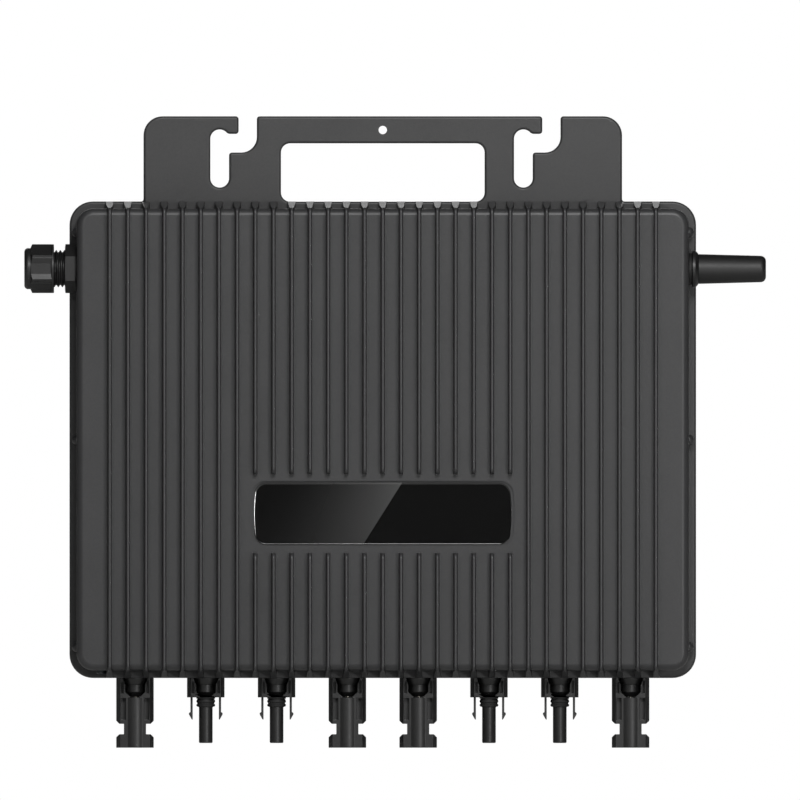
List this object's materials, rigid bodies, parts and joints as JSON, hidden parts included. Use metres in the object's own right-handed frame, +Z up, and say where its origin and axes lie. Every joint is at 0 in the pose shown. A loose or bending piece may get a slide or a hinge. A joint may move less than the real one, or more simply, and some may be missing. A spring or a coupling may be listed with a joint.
{
  "type": "micro inverter",
  "caption": "Flat ribbed micro inverter on a hanger plate with hook slots and a hand hole, with a cable gland, a stub antenna and panel connectors along its underside.",
  "frame": {"origin": "centre of the main plate's back face", "axes": "+Y out of the back towards the rail or wall, +Z up towards the hanger, +X to the right seen from the front"},
  "size_m": [0.3788, 0.038, 0.3225],
  "materials": {
    "plate_paint": "fine matt powder coat, dark grey",
    "housing_paint": "die-cast, fine matt powder coat, dark grey",
    "seal_rubber": "matt moulded rubber",
    "screw_steel": "zinc plated",
    "label_gloss": "black gloss with a printed grey sheen",
    "light_window": "smoked light guide",
    "gland_nylon": "satin moulded nylon",
    "claw_nylon": "satin moulded nylon",
    "antenna_collar_plastic": "satin moulded plastic",
    "antenna_sleeve": "smooth moulded thermoplastic rubber",
    "antenna_brass": "drawn wire",
    "nut_nickel": "nickel plated",
    "lead_jacket": "smooth cable jacket",
    "board_laminate": "glass epoxy with green solder mask",
    "ferrite": "pressed and sintered ferrite",
    "winding_copper": "enamelled copper wire",
    "capacitor_can": "shrink sleeve over an aluminium can",
    "film_box": "moulded box with epoxy fill",
    "relay_case": "moulded relay case",
    "transistor_epoxy": "moulded epoxy",
    "thermal_silicone": "soft filled silicone",
    "terminal_nylon": "moulded nylon",
    "contact_tin": "tin-plated copper",
    "connector_plastic": "satin moulded polycarbonate blend",
    "finger_plastic": "satin moulded polycarbonate blend",
    "lead_red": "silicone insulated wire"
  },
  "bodies": {
    "root": {"base_plate": "plate_paint", "housing": "housing_paint", "housing_gasket": "seal_rubber", "cover_screws": "screw_steel", "label_plate": "label_gloss", "status_led_window": "light_window", "gland_body": "gland_nylon", "gland_washer": "seal_rubber", "gland_locknut": "gland_nylon", "antenna_collar": "antenna_collar_plastic", "antenna_gasket": "seal_rubber", "antenna_locknut": "nut_nickel", "antenna_rod": "antenna_sleeve", "antenna_core": "antenna_brass", "antenna_lead": "lead_jacket", "radio_board": "board_laminate", "circuit_board": "board_laminate", "board_screws": "screw_steel", "transformer_cores": "ferrite", "transformer_windings": "winding_copper", "electrolytic_capacitors": "capacitor_can", "film_capacitors": "film_box", "filter_chokes": "winding_copper", "relays": "relay_case", "power_transistors": "transistor_epoxy", "thermal_pads": "thermal_silicone", "ac_terminal": "terminal_nylon", "pin_connector_1": "connector_plastic", "pin_connector_2": "connector_plastic", "pin_connector_3": "connector_plastic", "pin_connector_4": "connector_plastic", "socket_connector_1": "connector_plastic", "socket_connector_2": "connector_plastic", "socket_connector_3": "connector_plastic", "socket_connector_4": "connector_plastic", "contact_pins": "contact_tin", "contact_sockets": "contact_tin", "connector_o_rings": "seal_rubber", "connector_panel_seals": "seal_rubber", "connector_locknuts": "connector_plastic", "panel_leads": "lead_red"},
    "gland_insert": {"gland_claw": "claw_nylon", "gland_seal": "seal_rubber"},
    "gland_nut": {"gland_nut": "gland_nylon"},
    "latch_1": {"latch_finger_1": "finger_plastic"},
    "latch_2": {"latch_finger_2": "finger_plastic"},
    "latch_3": {"latch_finger_3": "finger_plastic"},
    "latch_4": {"latch_finger_4": "finger_plastic"},
    "latch_5": {"latch_finger_5": "finger_plastic"},
    "latch_6": {"latch_finger_6": "finger_plastic"},
    "latch_7": {"latch_finger_7": "finger_plastic"},
    "latch_8": {"latch_finger_8": "finger_plastic"}
  },
  "joints": [
    {"name": "gland_nut_travel", "type": "slide", "parent": "root", "child": "gland_insert", "axis": [-1, 0, 0], "range_m": [0, 0.005]},
    {"name": "gland_nut_turn", "type": "hinge", "parent": "gland_insert", "child": "gland_nut", "pos_m": [-0.175, -0.0155, 0.0874], "axis": [-1, 0, 0], "range_deg": [0, 900.1]},
    {"name": "latch_1_flex", "type": "hinge", "parent": "root", "child": "latch_1", "pos_m": [-0.09765, -0.0102, -0.1323], "axis": [0, -1, 0], "range_deg": [0, 7], "stiffness_Nm_per_rad": 0.05},
    {"name": "latch_2_flex", "type": "hinge", "parent": "root", "child": "latch_2", "pos_m": [-0.08315, -0.0102, -0.1323], "axis": [0, 1, 0], "range_deg": [0, 7], "stiffness_Nm_per_rad": 0.05},
    {"name": "latch_3_flex", "type": "hinge", "parent": "root", "child": "latch_3", "pos_m": [-0.06149, -0.0102, -0.1323], "axis": [0, -1, 0], "range_deg": [0, 7], "stiffness_Nm_per_rad": 0.05},
    {"name": "latch_4_flex", "type": "hinge", "parent": "root", "child": "latch_4", "pos_m": [-0.04699, -0.0102, -0.1323], "axis": [0, 1, 0], "range_deg": [0, 7], "stiffness_Nm_per_rad": 0.05},
    {"name": "latch_5_flex", "type": "hinge", "parent": "root", "child": "latch_5", "pos_m": [0.04699, -0.0102, -0.1323], "axis": [0, -1, 0], "range_deg": [0, 7], "stiffness_Nm_per_rad": 0.05},
    {"name": "latch_6_flex", "type": "hinge", "parent": "root", "child": "latch_6", "pos_m": [0.06149, -0.0102, -0.1323], "axis": [0, 1, 0], "range_deg": [0, 7], "stiffness_Nm_per_rad": 0.05},
    {"name": "latch_7_flex", "type": "hinge", "parent": "root", "child": "latch_7", "pos_m": [0.08315, -0.0102, -0.1323], "axis": [0, -1, 0], "range_deg": [0, 7], "stiffness_Nm_per_rad": 0.05},
    {"name": "latch_8_flex", "type": "hinge", "parent": "root", "child": "latch_8", "pos_m": [0.09765, -0.0102, -0.1323], "axis": [0, 1, 0], "range_deg": [0, 7], "stiffness_Nm_per_rad": 0.05}
  ],
  "couplings": [
    {"joint": "gland_nut_turn", "follows": "gland_nut_travel", "rad_per_m": 3141.6}
  ]
}
